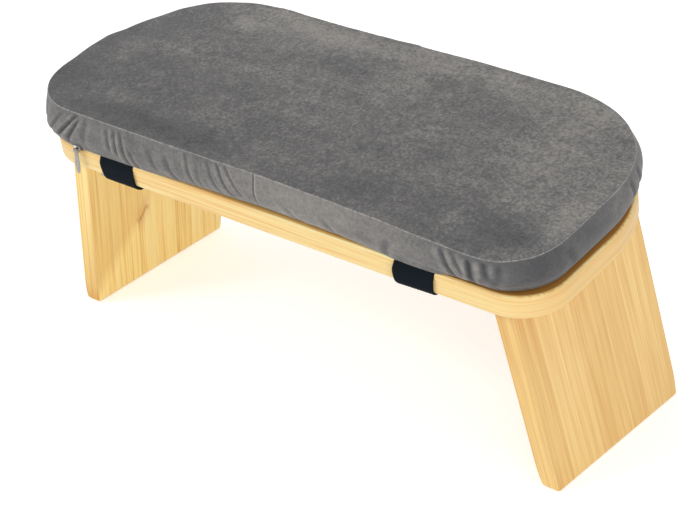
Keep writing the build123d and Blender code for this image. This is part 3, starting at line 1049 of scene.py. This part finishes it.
def makeMetal(name, bright, dull, smooth, rough, stretch, metallic=1.0):
    material, tree, shader = newMaterial(name, Metallic=metallic)
    worn = useGroup(tree, wornMetal, Bright=bright, Dull=dull, Smooth=smooth, Rough=rough, Stretch=stretch)
    feed(tree, shader.inputs["Base Color"], worn["Color"])
    feed(tree, shader.inputs["Roughness"], worn["Roughness"])
    addBump(tree, shader, worn["Height"], 0.15, 0.0001)
    return material


def repaint(material, *nodes):
    for node in nodes:
        mesh = bpy.data.objects[node].data
        mesh.materials.clear()
        mesh.materials.append(material)


places = [side + "_" + row + "_hinge_" for side in ("left", "right") for row in ("front", "rear")]
hingeSteel = makeMetal("hingeSteel", srgb(206, 204, 198), srgb(168, 166, 160), 0.28, 0.46, (80, 900, 900))
pinSteel = makeMetal("pinSteel", srgb(190, 190, 188), srgb(150, 150, 150), 0.22, 0.36, (900, 60, 900))
screwSteel = makeMetal("screwSteel", srgb(204, 200, 190), srgb(140, 138, 132), 0.30, 0.50, (500, 500, 500))
zipNickel = makeMetal("zipNickel", srgb(214, 212, 208), srgb(150, 148, 145), 0.20, 0.42, (500, 500, 500))
pullEnamel = makeMetal("pullEnamel", srgb(160, 157, 154), srgb(134, 132, 131), 0.30, 0.42, (300, 300, 300), 0.35)
repaint(hingeSteel, *(p + leaf for p in places for leaf in ("seat_leaf", "leg_leaf")))
repaint(pinSteel, *(p + "pin" for p in places))
repaint(screwSteel, "seat_hinge_screws", "left_leg_screws", "right_leg_screws")
repaint(zipNickel, "zip_slider")
repaint(pullEnamel, "zip_pull")
print("metals done")


# camera, lamps and floor

view = {
    "from": (0.83568, -0.99414, 0.81456),
    "to": (0.07410, -0.10814, 0.15361),
    "roll": radians(-3.17),
    "lens": 100.16,
}


def addCamera():
    data = bpy.data.cameras.new("camera")
    data.sensor_width = 36
    data.lens = view["lens"]
    data.clip_start = 0.05
    camera = bpy.data.objects.new("camera", data)
    bpy.context.scene.collection.objects.link(camera)
    ahead = (Vector(view["to"]) - Vector(view["from"])).normalized()
    right = ahead.cross(Vector((0, 0, 1))).normalized()
    up = right.cross(ahead)
    c, s = cos(view["roll"]), sin(view["roll"])
    turned = Matrix((right * c + up * s, up * c - right * s, -ahead)).transposed()
    camera.matrix_world = Matrix.Translation(view["from"]) @ turned.to_4x4()
    bpy.context.scene.camera = camera


def addLamp(name, place, size, power, aim=(0, 0, 0.15)):
    data = bpy.data.lights.new(name, "AREA")
    data.shape = "DISK"
    data.size = size
    data.energy = power
    lamp = bpy.data.objects.new(name, data)
    bpy.context.scene.collection.objects.link(lamp)
    lamp.location = place
    lamp.rotation_euler = (Vector(aim) - Vector(place)).to_track_quat("-Z", "Y").to_euler()


studio = {"world": 0.64, "floorGlow": 0.45}


def seenDirectly(tree):
    # 1 for what is looked at, itself or in a reflection, and 0 for light that falls on the bench
    path = tree.nodes.new("ShaderNodeLightPath").outputs
    mirrored = calc(tree, "MAXIMUM", path["Is Glossy Ray"], path["Is Transmission Ray"])
    return calc(tree, "MAXIMUM", path["Is Camera Ray"], mirrored)


def addWorld():
    world = bpy.data.worlds.new("studio")
    bpy.context.scene.world = world
    world.use_nodes = True
    tree = world.node_tree
    shown = tree.nodes["Background"]
    shown.inputs["Color"].default_value = (1, 1, 1, 1)
    strength = addUp(tree, scaled(tree, seenDirectly(tree), 1 - studio["world"]), studio["world"])
    feed(tree, shown.inputs["Strength"], strength)


def addFloor():
    bm = bmesh.new()
    bmesh.ops.create_grid(bm, x_segments=1, y_segments=1, size=6)
    material, tree, shader = newMaterial("paleFloor", Roughness=0.9)
    shader.inputs["Specular IOR Level"].default_value = 0.1
    coords = tree.nodes.new("ShaderNodeTexCoord").outputs["Object"]
    tone = blendColour(tree, cloud(tree, coords, 3), (0.93, 0.93, 0.93, 1), (0.95, 0.95, 0.95, 1))
    feed(tree, shader.inputs["Base Color"], tone)
    shader.inputs["Emission Color"].default_value = (1, 1, 1, 1)
    feed(tree, shader.inputs["Emission Strength"], scaled(tree, seenDirectly(tree), studio["floorGlow"]))
    floor = newObject("floor", bm, [material])


addCamera()
addLamp("key", (-1.3, -2.0, 2.1), 0.9, 24)
addLamp("fill", (4.2, -3.0, 0.7), 2.4, 110)
addWorld()
addFloor()
scene = bpy.context.scene
scene.view_settings.view_transform = "Standard"
print("stage done")
